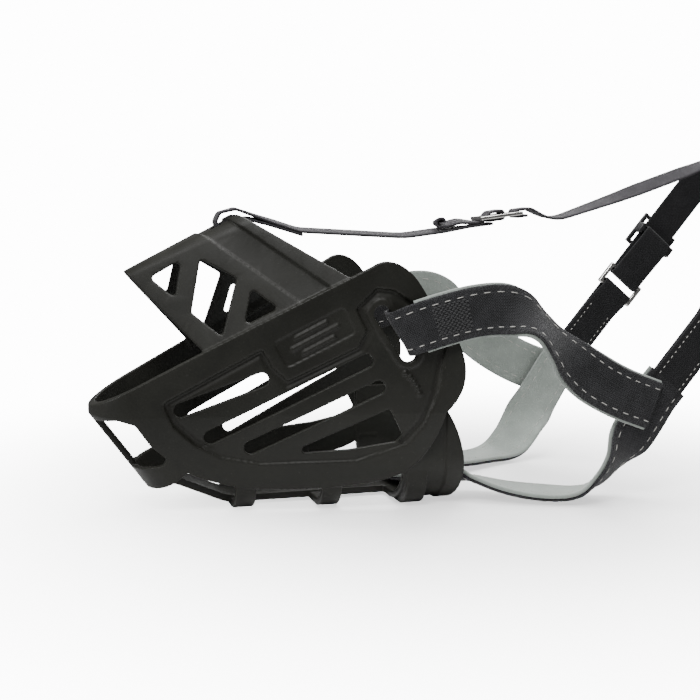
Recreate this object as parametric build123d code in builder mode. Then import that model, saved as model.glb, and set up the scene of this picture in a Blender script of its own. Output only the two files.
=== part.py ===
from build123d import *
import math
import os

os.makedirs("parts", exist_ok=True)

# ---------------------------------------------------------------------------
# Basket muzzle for a large dog.  Millimetres, +Z up, nose towards -X, neck
# towards +X, the dog's left side on -Y.  It stands on its three chin ribs.
# ---------------------------------------------------------------------------

# Basket moulding
nose_x = -192.63        # foremost point of the nose band
nose_radius = 26.0       # plan radius of the nose band
flare_angle = 9.5        # each side wall opens out towards the rear
basket_length = 178.0    # nose band to the rear rim of the throat cuff
drawn_length = 178.0     # the places below are drawn for a basket of this length
wall = 3.4               # side wall
skin = 1.0               # depth of the sunk field in each side
band_z = 48.0            # middle of the nose band
bow_lean = 36.0          # lean of the nose below the band, from vertical
snout_pitch = 26.7       # slope of the side panels' top edge
arch_height = 48.0       # crest above the panel line, square to it
arch_wall = 3.2
arch_lean = 0.43         # the flanks close in by this much per unit of height
bar_width = 11.0         # upright bar in the middle of the nose
slot_width = 6.6         # breathing slots

# Chin cradle and throat cuff
rib_places = (72.0, 113.0, 154.0)    # behind the nose
rib_width = 10.0
rib_wall = 3.6
rib_corner = 15.0
keel_width = 22.0
cuff_front = 147.0
cuff_half_width = 43.5
cuff_corner = 24.0
cuff_wall = 3.6

# Straps
lining_width = 26.0      # soft lining against the coat
lining_thick = 2.2
ribbon_width = 24.0      # woven ribbon sewn on the lining
ribbon_thick = 1.4
webbing_width = 20.0     # plain webbing round the neck
webbing_thick = 1.4
layer_gap = 0.3
forehead_width = 10.0
forehead_thick = 1.3
neck_pitch = 50.0        # slope of the neck loop from the floor
neck_half_width = 58.0
neck_straight = 132.0    # straight side of the neck loop above the joint
neck_corner = 24.0
joint_place = (275.0, 52.0)          # behind the nose, above the floor

# Buckle and sliders
buckle_width = 27.0
buckle_thick = 7.0
female_length = 30.0
male_length = 14.9       # what stays outside the female half
mouth_gap = 0.3
prong_reach = 18.5       # prongs and guide slide this far into the female half
frame_width = 26.0       # adjuster ring and neck slider, across the webbing
opening_width = 21.2     # their openings
bar = 2.6                # bars that webbing wraps
ring_length = 14.0
slider_length = 21.0
slider_bar = 2.2
stub_reach = 46.0        # webbing between a joint and its buckle or ring
collar_end = 10.6        # the neck webbing starts here, above the joint
slide_gap = 0.35         # round webbing that runs through a slider
metal = 1.8              # wire of the forehead slider
slider_pitch = 11.0      # between its bars
half_frame = 7.6
half_open = 5.6
hem_radius = 1.9         # rolled end of the forehead tail


stretch = basket_length / drawn_length


def along(x):
    """Where a place drawn x behind the nose comes: the basket stretches, what follows moves back."""
    return x * stretch if x <= drawn_length else x + (basket_length - drawn_length)


def behind(x, y=0.0, z=0.0):
    """A point given by its drawn distance behind the nose."""
    return (nose_x + along(x), y, z)


def finish(piece, name):
    piece.part.label = name
    export_step(piece.part, f"parts/{name}.step")


# ---------------------------------------------------------------------------
# Basket: a U-shaped wall seen from above, trimmed to its side outline
# ---------------------------------------------------------------------------
flare = math.atan(math.tan(math.radians(flare_angle)) / stretch)


def plan_outline(grow, rear):
    """Closed plan of the basket, grown outwards by grow, up to rear behind the nose."""
    r = nose_radius + grow
    cx = nose_x + nose_radius
    tx = cx - r * math.sin(flare)
    ty = r * math.cos(flare)
    end_x = nose_x + rear
    end_y = ty + (end_x - tx) * math.tan(flare)
    with BuildSketch() as plan:
        with BuildLine():
            ThreePointArc((tx, ty), (cx - r, 0), (tx, -ty))
            Polyline((tx, -ty), (end_x, -end_y), (end_x, end_y), (tx, ty))
        make_face()
    return plan.sketch


def plan_ring(outset, depth, height_up, drop):
    """The wall between two plan outlines: upright above the band, leaning back below it."""
    lean = math.radians(bow_lean)
    runs = (((0, 0, 1), height_up), ((math.sin(lean), 0, -math.cos(lean)), drop / math.cos(lean)))
    with BuildPart() as ring:
        for direction, length in runs:
            with BuildSketch(Plane.XY.offset(band_z)) as plan:
                add(plan_outline(outset, basket_length + 12))
                add(plan_outline(outset - depth, basket_length + 20), mode=Mode.SUBTRACT)
            extrude(plan.sketch, amount=length, dir=direction)
    return ring.part


def side_prism(outline, rounds=0.0, plane=Plane.XZ, reach=70.0):
    """A side outline carried right across the muzzle."""
    with BuildPart() as prism:
        with BuildSketch(plane) as sketch:
            with BuildLine():
                Polyline(*outline, close=True)
            make_face()
            if rounds:
                fillet(sketch.vertices(), rounds)
        extrude(amount=reach, both=True)
    return prism.part


def behind_nose(*points):
    return [(nose_x + along(x), z) for x, z in points]


pitch = math.atan(math.tan(math.radians(snout_pitch)) / stretch)
panel_top = behind_nose((-8, 48.0), (52.5, 79.4), (131.0, 118.8))
panel_rear = behind_nose((131.0, 118.8), (140.0, 121.0), (150.0, 114.8), (158.0, 102.8), (172.0, 82.5),
                         (175.0, 74.0), (166.4, 48.0))
panel_belly = behind_nose((166.4, 48.0), (160.5, 33.0), (149.3, 19.9), (130.5, 13.6), (98.0, 11.4),
                          (73.0, 12.4), (43.8, 21.0))
panel_chin = behind_nose((43.8, 21.0), (36.0, 14.0), (27.0, 10.0), (-8.0, 10.0))
nose_window = behind_nose(
    (-8, 43.6), (12, 46.8), (20, 44.5), (27, 34.5), (34.5, 27.8), (33, 24.6), (24, 22.0), (-8, 22.0))
field_outline = behind_nose(
    (33, 54.5), (37.5, 44), (47, 35), (60, 28), (78, 24.4), (124, 25), (148, 33.5), (156, 43), (162, 58),
    (166, 82), (155, 98), (141, 107.5), (133, 108.5), (123, 99), (128, 88), (124, 80.5), (91, 64.5),
    (84, 71), (79, 80))
plate_outline = behind_nose((83.9, 83.2), (117.1, 100.3), (123.2, 87.4), (90.4, 70.7))
low_slot = behind_nose((91, 29.0), (139.5, 50.5), (146, 37.5), (143, 34.0), (121, 30.6))
# breathing slots: middle behind the nose, height, overall length, slope
slots = ((60.0, 58.6, 47.0, 20.2), (91.6, 56.0, 88.0, 25.9), (104.0, 46.8, 73.0, 25.1))
cheek_slot = (141.7, 86.7)
cheek_slot_size = (31.0, 8.0)
cheek_slot_slope = -57.0


def panel_prism():
    """Leaf-shaped outline of the side panels with the chin, carried right across."""
    with BuildPart() as prism:
        with BuildSketch(Plane.XZ):
            with BuildLine():
                Polyline(*panel_top)
                Spline(*panel_rear)
                Spline(*panel_belly)
                Spline(*panel_chin)
                Line(panel_chin[-1], panel_top[0])
            make_face()
        extrude(amount=70, both=True)
    return prism.part


with BuildPart() as basket:
    add(plan_ring(0, wall, 80, 40))
    add(panel_prism(), mode=Mode.INTERSECT)
    # the nose windows leave the upright bar standing
    with BuildSketch(Plane.XZ.offset(bar_width / 2)) as near_window:
        with BuildLine():
            Polyline(*nose_window, close=True)
        make_face()
        fillet(near_window.vertices().group_by(Axis.X)[-1], 1.2)
    extrude(amount=60, mode=Mode.SUBTRACT)
    with BuildSketch(Plane.XZ.offset(-bar_width / 2)):
        add(near_window.sketch_local)
    extrude(amount=-60, mode=Mode.SUBTRACT)
    # sunk field on each side
    with BuildPart(mode=Mode.PRIVATE) as field:
        add(plan_ring(0.6, skin + 0.6, 80, 40))
        add(side_prism(field_outline, 2.5), mode=Mode.INTERSECT)
    add(field.part, mode=Mode.SUBTRACT)
    # name plate, left blank, with a shallow floor
    with BuildPart(mode=Mode.PRIVATE) as plate:
        add(plan_ring(0.6, skin + 0.3, 80, 40))
        add(side_prism(plate_outline, 2.5), mode=Mode.INTERSECT)
    add(plate.part, mode=Mode.SUBTRACT)
    # raised lip round each cheek strap slot
    with BuildPart(mode=Mode.PRIVATE) as lip:
        with BuildSketch(Plane.XZ):
            with Locations((nose_x + along(cheek_slot[0]), cheek_slot[1])):
                SlotOverall(cheek_slot_size[0] + 6, cheek_slot_size[1] + 6, rotation=cheek_slot_slope)
        extrude(amount=70, both=True)
        add(plan_ring(-0.2, wall - 0.4, 80, 40), mode=Mode.INTERSECT)
    add(lip.part)
    with BuildSketch(Plane.XZ):
        for x, z, length, slope in slots:
            with Locations((nose_x + along(x), z)):
                SlotOverall(length * stretch, slot_width, rotation=slope)
        with Locations((nose_x + along(cheek_slot[0]), cheek_slot[1])):
            SlotOverall(*cheek_slot_size, rotation=cheek_slot_slope)
    extrude(amount=70, both=True, mode=Mode.SUBTRACT)
    add(side_prism(low_slot, 1.6), mode=Mode.SUBTRACT)


# ---------------------------------------------------------------------------
# Nose bridge: an arch that runs up the snout from the side panels
# ---------------------------------------------------------------------------
snout_x = (math.cos(pitch), 0, math.sin(pitch))
snout_foot = (52.5, 79.4)         # where the arch starts on the panels
snout = Plane(origin=behind(snout_foot[0], 0, snout_foot[1]), x_dir=snout_x, z_dir=(0, -1, 0))


def half_width(x):
    """Outer half width of the side walls, x behind the nose."""
    return nose_radius * math.cos(flare) + (x - nose_radius * (1 - math.sin(flare))) * math.tan(flare)


def arch_body(grow, places, foot):
    """Solid arch between two places along the snout, grown outwards by grow."""
    with BuildPart() as body:
        for s in places:
            centre = snout.from_local_coords((s * stretch, 0, 0))
            base = half_width(along(snout_foot[0]) + s * stretch * math.cos(pitch)) - 1.2 + grow
            top = base - arch_lean * arch_height
            rise = arch_height + grow
            with BuildSketch(Plane(origin=centre, x_dir=(0, 1, 0), z_dir=snout_x)) as section:
                with BuildLine():
                    Polyline((-base, -foot), (-base, 0), (-top, rise), (top, rise), (base, 0), (base, -foot),
                             close=True)
                make_face()
                fillet(section.vertices().group_by(Axis.Y)[-1], min(0.8 * top, 12))
        loft()
    return body.part


def arch_shell(grow, depth):
    with BuildPart() as shell:
        add(arch_body(grow, (-20, 84), 6))
        add(arch_body(grow - depth, (-24, 88), 12), mode=Mode.SUBTRACT)
    return shell.part


def up_snout(*points):
    return [(s * stretch, h) for s, h in points]


arch_outline = up_snout((-0.5, -5), (-0.5, 0), (-14.5, arch_height + 1), (46, arch_height + 1), (76, 0),
                        (78, -5))
arch_band = up_snout((25.5, 50), (50.5, -1), (66.5, -1), (40.5, 50))
arch_windows = (up_snout((-5, 40.5), (12, 41.5), (0.6, 27.0)),
                up_snout((20, 38.0), (30.3, 22.5), (10.6, 2.0), (3.8, 18.0)),
                up_snout((33.7, 15.5), (40.0, 2.0), (22.0, 2.0)))
crest_slot = 35.5                 # up the snout, for the forehead strap

with BuildPart() as arch:
    add(arch_shell(0, arch_wall))
    add(side_prism(arch_outline, plane=snout), mode=Mode.INTERSECT)
    with BuildPart(mode=Mode.PRIVATE) as band:
        add(arch_shell(0.6, 1.5))
        add(side_prism(arch_band, plane=snout), mode=Mode.INTERSECT)
    add(band.part, mode=Mode.SUBTRACT)
    for window in arch_windows:
        add(side_prism(window, 1.6, plane=snout), mode=Mode.SUBTRACT)
    # slot in the crest for the forehead strap
    crest = snout.from_local_coords((crest_slot * stretch, arch_height, 0))
    with BuildSketch(Plane(origin=crest, x_dir=snout_x, z_dir=snout.y_dir)):
        SlotOverall(13, 5, rotation=90)
    extrude(amount=8, both=True, mode=Mode.SUBTRACT)


# ---------------------------------------------------------------------------
# Chin cradle: three ribs under the jaw, a keel between them and the throat cuff
# ---------------------------------------------------------------------------
def cradle_ring(half, corner, depth, top):
    """Open U seen from the front, standing on the floor."""
    with BuildSketch() as ring:
        for inset, mode in ((0, Mode.ADD), (depth, Mode.SUBTRACT)):
            with BuildSketch(mode=Mode.PRIVATE) as shape:
                with Locations((0, top)):
                    Rectangle(2 * (half - inset), 2 * (top - inset))
                fillet(shape.vertices().group_by(Axis.Y)[0], corner - inset)
            add(shape.sketch, mode=mode)
        with Locations((0, 2 * top)):
            Rectangle(4 * half, 2 * top, mode=Mode.SUBTRACT)
    return ring.sketch


low_shift = (band_z - 14) * math.tan(math.radians(bow_lean))
cuff_floor = 1.0

with BuildPart() as cradle:
    for place in rib_places:
        with BuildSketch(Plane.YZ.offset(nose_x + along(place))):
            add(cradle_ring(half_width(along(place) - low_shift) - 0.8, rib_corner, rib_wall, 22))
        extrude(amount=rib_width / 2, both=True)
    # keel along the middle, rising to the chin
    with BuildSketch(Plane.XZ):
        with BuildLine():
            keel = FilletPolyline(*behind_nose((27, 16), (40, 14.5), (66, 3.2), (172, 3.0)), radius=18)
        trace(keel, line_width=3.6)
    extrude(amount=keel_width / 2, both=True)
    # throat cuff, trimmed to its bowed rear edge, with a rim
    for front, grow in ((along(cuff_front), 0), (basket_length - 9, 1.0)):
        with BuildPart(mode=Mode.PRIVATE) as cuff:
            with BuildSketch(Plane.YZ.offset(nose_x + front)):
                with Locations((0, cuff_floor - grow)):
                    add(cradle_ring(cuff_half_width + grow, cuff_corner + grow, cuff_wall + grow, 48))
            extrude(amount=basket_length - front + 2)
            with BuildSketch(Plane.XZ):
                with BuildLine():
                    rear = Spline(*behind_nose((166, 52), (171.5, 44), (177, 29), (178, 12), (175.5, -2)))
                    Polyline(rear @ 1, (nose_x + along(100), -2), (nose_x + along(100), 52), rear @ 0)
                make_face()
            extrude(amount=70, both=True, mode=Mode.INTERSECT)
        add(cuff.part)

with basket:
    add(arch.part)
    add(cradle.part)
finish(basket, "basket")


# ---------------------------------------------------------------------------
# Soft straps that twist: a band lofted through stations along its run.
# A station is (behind the nose, outward from the middle, height, across),
# where across points over the width of the band.
# ---------------------------------------------------------------------------
inside = wall + ribbon_thick / 2          # the inner end of a cheek strap lies against the wall
cheek_run = (
    (181.0, 50.8, 96.2, (-0.15, 0.0, 1.0)),
    (168.0, 49.1 - inside, 93.6, (-0.30, -0.05, 0.95)),
    (152.0, 46.1 - inside, 90.0, (-0.50, -0.085, 0.86)),
    (145.0, 45.6 - inside, 87.4, (-0.54, -0.09, 0.84)),
    (143.4, 45.0, 87.0, (-0.54, -0.09, 0.84)),
    (145.6, 48.6, 87.4, (-0.54, -0.09, 0.84)),
    (152.5, 51.4, 90.2, (-0.46, -0.075, 0.89)),
    (165.0, 53.6, 94.0, (-0.24, -0.04, 0.97)),
    (178.0, 56.0, 97.2, (-0.10, 0.0, 1.0)),
    (191.0, 58.6, 98.4, (0.04, -0.15, 1.0)),
    (202.0, 60.6, 96.6, (0.20, -0.55, 0.80)),
    (211.0, 61.8, 90.4, (0.45, -0.80, 0.45)),
    (219.0, 62.4, 81.2, (0.60, -0.70, 0.45)),
    (228.0, 62.6, 72.0, (0.62, -0.30, 0.70)),
    (240.0, 62.4, 62.8, (0.58, 0.0, 0.80)),
    (254.0, 63.0, 55.4, (0.50, 0.0, 0.86)),
    (271.0, 63.0, 48.8, (0.42, 0.0, 0.90)),
)
lining_start = 6          # the cheek lining begins at this station

collar_half_run = (
    (162.5, 0.0, 6.3, (-1.0, 0.0, 0.06)),
    (163.4, 8.5, 6.7, (-0.96, 0.26, 0.10)),
    (166.5, 15.6, 8.0, (-0.82, 0.52, 0.22)),
    (172.0, 21.0, 9.6, (-0.68, 0.64, 0.38)),
    (180.0, 24.2, 10.2, (-0.60, 0.66, 0.44)),
    (189.0, 27.6, 8.4, (-0.56, 0.78, 0.26)),
    (204.0, 36.0, 4.6, (-0.46, 0.88, 0.08)),
    (221.0, 44.6, 2.8, (-0.38, 0.92, 0.0)),
    (236.0, 50.6, 3.6, (-0.36, 0.92, 0.10)),
    (247.0, 53.8, 10.0, (-0.40, 0.82, 0.36)),
    (255.0, 56.2, 20.5, (-0.48, 0.66, 0.50)),
    (261.5, 57.7, 31.0, (-0.66, 0.16, 0.66)),
    (267.5, 58.0, 40.5, (-0.75, 0.02, 0.65)),
    (275.0, 58.0, 52.0, (-0.766, 0.0, 0.643)),
    (281.5, 58.0, 59.7, (-0.766, 0.0, 0.643)),
)


drawn_half_width = 58.0           # the runs are drawn for a neck loop of this half width
ease = (190.0, 255.0)             # and follow its real width more and more between these


def sided(run, side):
    """Stations of a run on the left (-1) or right (+1) side, eased out to the neck loop."""
    stations = []
    for x, out, z, (a, b, c) in run:
        share = min(max((x - ease[0]) / (ease[1] - ease[0]), 0.0), 1.0)
        place = out + share * (neck_half_width - drawn_half_width)
        stations.append((Vector(*behind(x, side * place, z)), Vector(a, side * b, c)))
    return stations


def band(stations, width, thick, lift, turn=1):
    """Flat band through the stations, moved by lift towards its outer face."""
    centres = [centre for centre, _ in stations]
    with BuildPart() as piece:
        for i, (centre, across) in enumerate(stations):
            tangent = (centres[min(i + 1, len(centres) - 1)] - centres[max(i - 1, 0)]).normalized()
            across = (across - tangent * across.dot(tangent)).normalized()
            outer = tangent.cross(across) * turn
            with BuildSketch(Plane(origin=centre + outer * lift, x_dir=across, z_dir=tangent)):
                Rectangle(width, thick)
        loft(ruled=True)
    return piece


lining_lift = -(ribbon_thick + lining_thick) / 2 - layer_gap
for side, name in ((-1, "left"), (1, "right")):
    stations = sided(cheek_run, side)
    finish(band(stations, ribbon_width, ribbon_thick, 0), f"cheek_ribbon_{name}")
    finish(band(stations[lining_start:], lining_width, lining_thick, lining_lift, -side),
           f"cheek_lining_{name}")

collar_run = sided(collar_half_run, 1)[:0:-1] + sided(collar_half_run, -1)
finish(band(collar_run, ribbon_width, ribbon_thick, 0), "collar_ribbon")
finish(band(collar_run, lining_width, lining_thick, lining_lift), "collar_lining")


# ---------------------------------------------------------------------------
# Neck loop: webbing that lies in one tilted plane, with u up the loop
# ---------------------------------------------------------------------------
neck_tilt = math.radians(neck_pitch)
neck = Plane(origin=behind(joint_place[0], 0, joint_place[1]),
             x_dir=(math.cos(neck_tilt), 0, math.sin(neck_tilt)),
             z_dir=(-math.sin(neck_tilt), 0, math.cos(neck_tilt)))
leg_gap = bar + webbing_thick + 0.4
bar_y = neck_half_width - leg_gap / 2
eye = 4.4                 # length of a slot that webbing passes through
past_bar = 1.6            # a turn's middle lies this far past its bar
fold = 0.9 * webbing_thick           # centre-line radius of webbing folded round a bar


def flat_strap(points, radii, plane=neck, width=webbing_width, thick=webbing_thick):
    """Webbing that stays in one plane, with rounded turns."""
    with BuildPart() as strap:
        with BuildSketch(plane):
            with BuildLine():
                line = FilletPolyline(*points, radius=radii) if len(points) > 2 else Line(*points)
            trace(line, line_width=thick)
        extrude(amount=width / 2, both=True)
    return strap


def hairpin(side, foot, turn):
    """Two layers sewn together at the foot and open round a bar at the turn."""
    outer = side * neck_half_width
    inner = outer - side * leg_gap
    return flat_strap(((foot, outer), (turn, outer), (turn, inner), (foot, inner)), fold)


def block(u, y, n, plane=neck, rounds=0.0):
    """Box between two limits on each axis of a plane, its upright edges rounded."""
    with BuildPart() as box:
        with BuildSketch(plane.offset(min(n))) as base:
            with Locations(((u[0] + u[1]) / 2, (y[0] + y[1]) / 2)):
                Rectangle(abs(u[1] - u[0]), abs(y[1] - y[0]))
            if rounds:
                fillet(base.vertices(), rounds)
        extrude(amount=abs(n[1] - n[0]))
    return box.part


# left side: webbing stub, side-release buckle
foot = collar_end
female_start = foot + stub_reach
mouth = female_start + female_length
head_end = mouth + mouth_gap + male_length
male_bar = head_end - bar
buckle_y = -bar_y
half_buckle = buckle_width / 2
half_thick = buckle_thick / 2
bore_half = half_buckle - 2.8
bore_thick = buckle_thick - 3.0
window = (mouth - 17.0, mouth - 8.0)
catch = (mouth - 16.4, mouth - 9.6)

finish(hairpin(-1, foot, female_start + bar + past_bar), "neck_stub_left")

with BuildPart() as buckle_female:
    add(block((female_start, mouth), (buckle_y - half_thick, buckle_y + half_thick),
              (-half_buckle, half_buckle), rounds=1.6))
    add(block((female_start + bar, female_start + bar + eye), (buckle_y - 8, buckle_y + 8),
              (-opening_width / 2, opening_width / 2)), mode=Mode.SUBTRACT)
    add(block((mouth - prong_reach - 2, mouth + 1), (buckle_y - bore_thick / 2, buckle_y + bore_thick / 2),
              (-bore_half, bore_half)), mode=Mode.SUBTRACT)
    for n in ((-half_buckle - 1, -bore_half + 1), (bore_half - 1, half_buckle + 1)):
        add(block(window, (buckle_y - bore_thick / 2, buckle_y + bore_thick / 2), n), mode=Mode.SUBTRACT)
    # the strap end is narrower than the body, flush with its bar
    add(block((female_start - 1, female_start + 8), (buckle_y - 8, buckle_y - bar / 2),
              (-half_buckle - 1, half_buckle + 1)), mode=Mode.SUBTRACT)
    add(block((female_start - 1, female_start + 8), (buckle_y + bar / 2, buckle_y + 8),
              (-half_buckle - 1, half_buckle + 1)), mode=Mode.SUBTRACT)
finish(buckle_female, "buckle_female")

with BuildPart() as buckle_male:
    add(block((mouth + mouth_gap, head_end), (buckle_y - half_thick, buckle_y + half_thick),
              (-half_buckle, half_buckle), rounds=1.6))
    for y in ((buckle_y - 8, buckle_y - bar / 2), (buckle_y + bar / 2, buckle_y + 8)):
        add(block((mouth + 7.5, head_end + 1), y, (-half_buckle - 1, half_buckle + 1)), mode=Mode.SUBTRACT)
    add(block((male_bar - eye, male_bar), (buckle_y - 8, buckle_y + 8),
              (-opening_width / 2, opening_width / 2)), mode=Mode.SUBTRACT)
    # guide tongue in the middle
    add(block((mouth - prong_reach + 3.5, mouth + 1), (buckle_y - 1.3, buckle_y + 1.3), (-1.5, 1.5)))
finish(buckle_male, "buckle_male")

with BuildPart() as buckle_prongs:
    for side in (-1, 1):
        add(block((mouth - prong_reach, mouth + mouth_gap), (buckle_y - 1.5, buckle_y + 1.5),
                  (side * 6.0, side * 9.2)))
        with BuildSketch(Plane(origin=neck.from_local_coords((0, buckle_y, 0)), x_dir=neck.x_dir,
                               z_dir=neck.y_dir)):
            with BuildLine():
                Polyline((catch[0], -side * 9.1), (catch[1], -side * 9.1), (catch[1], -side * 12.4),
                         (catch[1] - 2.4, -side * 12.4), close=True)
            make_face()
        extrude(amount=1.5, both=True)
finish(buckle_prongs, "buckle_prongs")

slack_end = neck_straight - 1.5      # the webbing that slackens with the buckle ends here
male_turn = male_bar - past_bar
finish(flat_strap(((slack_end, -neck_half_width), (male_turn, -neck_half_width),
                   (male_turn, buckle_y + leg_gap / 2), (head_end + 9, buckle_y + leg_gap / 2)),
                  fold), "neck_strap_end")

# right side: webbing stub, ring and sliding adjuster
ring_start = foot + stub_reach
ring_end = ring_start + ring_length
ring_y = bar_y
half_bar = bar / 2
finish(hairpin(1, foot, ring_start + bar + past_bar), "neck_stub_right")

with BuildPart() as adjuster_ring:
    add(block((ring_start, ring_end), (ring_y - half_bar, ring_y + half_bar),
              (-frame_width / 2, frame_width / 2), rounds=0.8))
    add(block((ring_start + bar, ring_end - bar), (ring_y - 8, ring_y + 8),
              (-opening_width / 2, opening_width / 2)), mode=Mode.SUBTRACT)
finish(adjuster_ring, "adjuster_ring")

# one length of webbing: left corner, nape, right corner, round the ring
nape = neck_straight + neck_corner
ring_turn = ring_end - bar - past_bar
return_foot = ring_turn + 8.0
inner_leg = neck_half_width - leg_gap
finish(flat_strap(((slack_end + 0.4, -neck_half_width), (nape, -neck_half_width), (nape, neck_half_width),
                   (ring_turn, neck_half_width), (ring_turn, inner_leg), (return_foot, inner_leg)),
                  [neck_corner, neck_corner, fold, fold]), "neck_strap")

# the adjuster: webbing runs under its end bars, its middle bar holds the sewn end
slider_start = return_foot + 13.0
slider_mid = slider_start + slider_length / 2
hem_outer = neck_half_width - webbing_thick - slide_gap
hem_inner = hem_outer - slider_bar - webbing_thick - 0.6
mid_bar_y = (hem_outer + hem_inner) / 2
top_y = neck_half_width + webbing_thick / 2 + slide_gap
finish(flat_strap(((return_foot + 0.4, inner_leg), (slider_mid - 6, hem_inner),
                   (slider_mid + 2.4, hem_inner), (slider_mid + 2.4, hem_outer), (slider_mid - 4, hem_outer)),
                  [12, fold, fold]), "neck_strap_return")

with BuildPart() as neck_adjuster:
    top = top_y + slider_bar
    for u in (slider_start, slider_start + slider_length - slider_bar):
        add(block((u, u + slider_bar), (top_y, top), (-frame_width / 2, frame_width / 2)))
    for n in ((-frame_width / 2, -opening_width / 2), (opening_width / 2, frame_width / 2)):
        add(block((slider_start, slider_start + slider_length), (top_y, top), n))
        add(block((slider_mid - 3, slider_mid + 3), (mid_bar_y - slider_bar / 2, top), n))
    add(block((slider_mid - slider_bar / 2, slider_mid + slider_bar / 2),
              (mid_bar_y - slider_bar / 2, mid_bar_y + slider_bar / 2), (-frame_width / 2, frame_width / 2)))
finish(neck_adjuster, "neck_adjuster")


# ---------------------------------------------------------------------------
# Forehead strap: in the middle plane, from the crest slot to the nape
# ---------------------------------------------------------------------------
middle = Plane(origin=(nose_x, 0, 0), x_dir=(1, 0, 0), z_dir=(0, -1, 0))


def crest_place(stretch):
    """The crest slot, behind the nose and above the floor, on a basket stretched this much."""
    slope = math.atan(math.tan(math.radians(snout_pitch)) / stretch)
    s = crest_slot * stretch
    return (snout_foot[0] * stretch + s * math.cos(slope) - arch_height * math.sin(slope),
            snout_foot[1] + s * math.sin(slope) + arch_height * math.cos(slope))


moved = [now - drawn for now, drawn in zip(crest_place(stretch), crest_place(1.0))]


def over_crest(*points):
    return [(x + moved[0], z + moved[1]) for x, z in points]


run_end = (along(160.0), 132.2)
climb_end = (along(208.0), 138.2)
climb = math.atan2(climb_end[1] - run_end[1], climb_end[0] - run_end[0])

front_points = over_crest((86.0, 137.6), (77.5, 141.0), (70.0, 134.6), (66.4, 132.6), (62.9, 139.6),
                          (65.0, 144.0), (73.0, 146.0), (84.0, 142.2), (105.0, 135.4))
finish(flat_strap((*front_points, run_end, climb_end),
                  [2.0, 2.0, 1.2, 2.5, 2.5, 4.0, 8.0, 20.0, 40.0], middle, forehead_width, forehead_thick),
       "forehead_strap")

# slider frame: origin at its middle bar, s along the strap, h square to it
slide = Plane(origin=middle.from_local_coords((along(212.0), 142.2, 0)),
              x_dir=(math.cos(climb), 0, math.sin(climb)), z_dir=(0, -1, 0))
with BuildPart() as forehead_slider:
    for s in (-slider_pitch, 0.0, slider_pitch):
        add(block((s - metal / 2, s + metal / 2), (-metal / 2, metal / 2), (-half_frame, half_frame), slide))
    for n in ((-half_frame, -half_open), (half_open, half_frame)):
        add(block((-slider_pitch - metal / 2, slider_pitch + metal / 2), (-metal / 2, metal / 2), n, slide))
finish(forehead_slider, "forehead_slider")

# tail: over the middle bar, forward under the front bar, ending in a rolled hem
wrap = metal / 2 + forehead_thick / 2 + 0.2
with BuildPart() as forehead_tail:
    with BuildSketch(slide):
        with BuildLine():
            tail = FilletPolyline((-6.0, -wrap), (2.2, -wrap), (2.2, wrap + 0.9), (-5.0, wrap + 0.7),
                                  (-9.6, -wrap), (-13.0, -wrap), (-22.0, 0.0), (-31.0, -0.3),
                                  radius=[1.2, 1.4, 2.0, 1.2, 2.0, 6.0])
        trace(tail, line_width=forehead_thick)
        with Locations((-32.4, 0.0)):
            Circle(hem_radius)
    extrude(amount=forehead_width / 2, both=True)
finish(forehead_tail, "forehead_tail")

# rear strap: sewn round the slider's rear bar at one end, round the nape webbing at the other


def in_middle(plane, x, y=0.0, z=0.0):
    point = middle.to_local_coords(plane.from_local_coords((x, y, z)))
    return (point.X, point.Y)


nape_gap = (webbing_thick + forehead_thick) / 2 + 0.3
nape_edge = webbing_width / 2 + 1.4
rear_points = (
    in_middle(slide, 15.5, -wrap), in_middle(slide, 9.2, -wrap), in_middle(slide, 9.2, wrap),
    in_middle(slide, 17.5, wrap), (along(243.0), 139.6), (along(280.0), 151.4), (along(330.0), 168.4),
    in_middle(neck, nape + nape_gap, 0, nape_edge + 3.0), in_middle(neck, nape + nape_gap, 0, -nape_edge),
    in_middle(neck, nape - nape_gap, 0, -nape_edge), in_middle(neck, nape - nape_gap, 0, nape_edge + 1.0))
finish(flat_strap(rear_points, [1.1, 1.1, 5.0, 20.0, 60.0, 30.0, 12.0, 1.1, 1.1], middle, forehead_width,
                  forehead_thick), "forehead_strap_rear")
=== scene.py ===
# %% [markdown]
# # A basket muzzle: moulded silicone, sewn straps and plated hardware
# The muzzle's frame was designed first, with every size, joint and strap route settled.
# This notebook gives that frame its looks.  Moulded parts could be left as they come, but their
# edges are knife sharp, so the basket is remeshed until its corners roll over like a real
# moulding.  Straps are swept as fine cloth meshes with real ribs, selvedges and stitches.

# %% Load the frame
import math

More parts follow.
